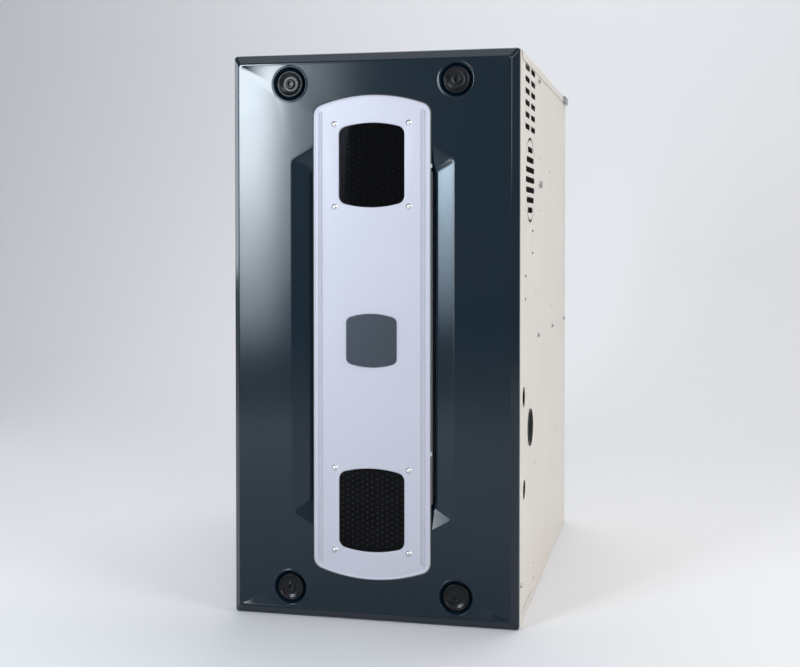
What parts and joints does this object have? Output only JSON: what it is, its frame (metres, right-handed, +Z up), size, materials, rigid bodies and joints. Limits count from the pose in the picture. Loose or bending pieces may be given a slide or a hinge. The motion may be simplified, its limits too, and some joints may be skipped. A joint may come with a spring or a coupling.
{
  "type": "gas furnace",
  "caption": "Upright forced air gas furnace: sheet-steel cabinet with a full-height removable door, burners, heat exchanger, blower, draught fan and vent socket.",
  "frame": {"origin": "middle of the cabinet's base, on the floor", "axes": "+Z up, -Y is the front with the door, +X is the right-hand side seen from the front"},
  "size_m": [0.4524, 0.7414, 0.8826],
  "materials": {
    "cream_paint": "satin cream powder coat",
    "door_paint": "gloss dark blue-grey enamel",
    "silver": "satin silver paint on pressed steel",
    "dark_glass": "smoked, glossy",
    "black_steel": "black enamel",
    "badge_grey": "fine satin",
    "black_plastic": "moulded, satin",
    "foam": "closed-cell foam",
    "galvanised": "zinc spangle",
    "aluminised": "dull aluminised steel",
    "rubber": "matt",
    "white_plastic": "smooth",
    "board_green": "solder mask",
    "red_plastic": "moulded",
    "ceramic": "unglazed",
    "cast_aluminium": "as cast"
  },
  "bodies": {
    "cabinet": {"side_panel_right": "cream_paint", "side_panel_left": "cream_paint", "rear_panel": "cream_paint", "base_pan": "galvanised", "top_cap": "cream_paint", "front_rail_top": "cream_paint", "front_rail_bottom": "cream_paint", "blower_deck": "galvanised", "vestibule_panel": "galvanised", "rear_corner_bracket_right": "galvanised", "rear_corner_bracket_left": "galvanised", "pipe_grommet": "rubber", "vent_coupling": "rubber", "burner_box": "aluminised", "burner_rack": "aluminised", "burner_1": "aluminised", "burner_2": "aluminised", "burner_3": "aluminised", "gas_manifold": "black_steel", "gas_valve": "cast_aluminium", "igniter": "ceramic", "flame_sensor": "ceramic", "rollout_switch": "black_plastic", "heat_exchanger_cell_1": "aluminised", "heat_exchanger_cell_2": "aluminised", "heat_exchanger_cell_3": "aluminised", "rear_header": "aluminised", "secondary_coil": "aluminised", "collector_box": "black_plastic", "inducer_housing": "black_plastic", "inducer_motor": "galvanised", "vent_boot": "rubber", "vent_pipe": "white_plastic", "blower_housing": "galvanised", "blower_motor": "black_steel", "motor_mount": "galvanised", "control_panel": "galvanised", "control_board": "board_green", "transformer": "black_steel", "interlock_switch": "black_plastic", "pressure_switch": "black_plastic", "pressure_hose": "rubber", "limit_switch": "galvanised", "condensate_trap": "white_plastic", "wiring_harness": "rubber"},
    "door": {"door_panel": "door_paint", "door_gasket": "foam", "accent_strip": "silver", "upper_window": "dark_glass", "lower_window": "dark_glass", "badge_plate": "badge_grey"},
    "latch_top_right": {"door_latch_top_right": "black_plastic"},
    "latch_top_left": {"door_latch_top_left": "black_plastic"},
    "latch_bottom_right": {"door_latch_bottom_right": "black_plastic"},
    "latch_bottom_left": {"door_latch_bottom_left": "black_plastic"},
    "plunger": {"interlock_plunger": "red_plastic"},
    "valve_toggle": {"gas_valve_toggle": "red_plastic"},
    "reset_button": {"rollout_reset_button": "red_plastic"},
    "blower_wheel": {"blower_wheel": "galvanised"},
    "inducer_wheel": {"inducer_wheel": "galvanised"}
  },
  "joints": [
    {"name": "door_slide", "type": "slide", "parent": "cabinet", "child": "door", "axis": [0, -1, 0], "range_m": [0, 0.3]},
    {"name": "latch_top_right_turn", "type": "hinge", "parent": "door", "child": "latch_top_right", "pos_m": [0.12905, -0.36, 0.8176], "axis": [0, 1, 0], "range_deg": [0, 90]},
    {"name": "latch_top_left_turn", "type": "hinge", "parent": "door", "child": "latch_top_left", "pos_m": [-0.12905, -0.36, 0.8176], "axis": [0, 1, 0], "range_deg": [0, 90]},
    {"name": "latch_bottom_right_turn", "type": "hinge", "parent": "door", "child": "latch_bottom_right", "pos_m": [0.12905, -0.36, 0.046], "axis": [0, 1, 0], "range_deg": [0, 90]},
    {"name": "latch_bottom_left_turn", "type": "hinge", "parent": "door", "child": "latch_bottom_left", "pos_m": [-0.12905, -0.36, 0.046], "axis": [0, 1, 0], "range_deg": [0, 90]},
    {"name": "plunger_slide", "type": "slide", "parent": "cabinet", "child": "plunger", "axis": [0, -1, 0], "range_m": [0, 0.0041]},
    {"name": "valve_toggle_turn", "type": "hinge", "parent": "cabinet", "child": "valve_toggle", "pos_m": [0.024, -0.277, 0.7063], "axis": [1, 0, 0], "range_deg": [0, 40]},
    {"name": "reset_button_press", "type": "slide", "parent": "cabinet", "child": "reset_button", "axis": [0, 0, -1], "range_m": [0, 0.002], "stiffness_N_per_m": 400},
    {"name": "blower_wheel_spin", "type": "hinge", "parent": "cabinet", "child": "blower_wheel", "pos_m": [0, 0.108, 0.226], "axis": [1, 0, 0], "continuous": true},
    {"name": "inducer_wheel_spin", "type": "hinge", "parent": "cabinet", "child": "inducer_wheel", "pos_m": [-0.1134, -0.18, 0.534], "axis": [0, 1, 0], "continuous": true}
  ],
  "couplings": [
    {"joint": "plunger_slide", "follows": "door_slide", "ratio": 0.0133}
  ]
}
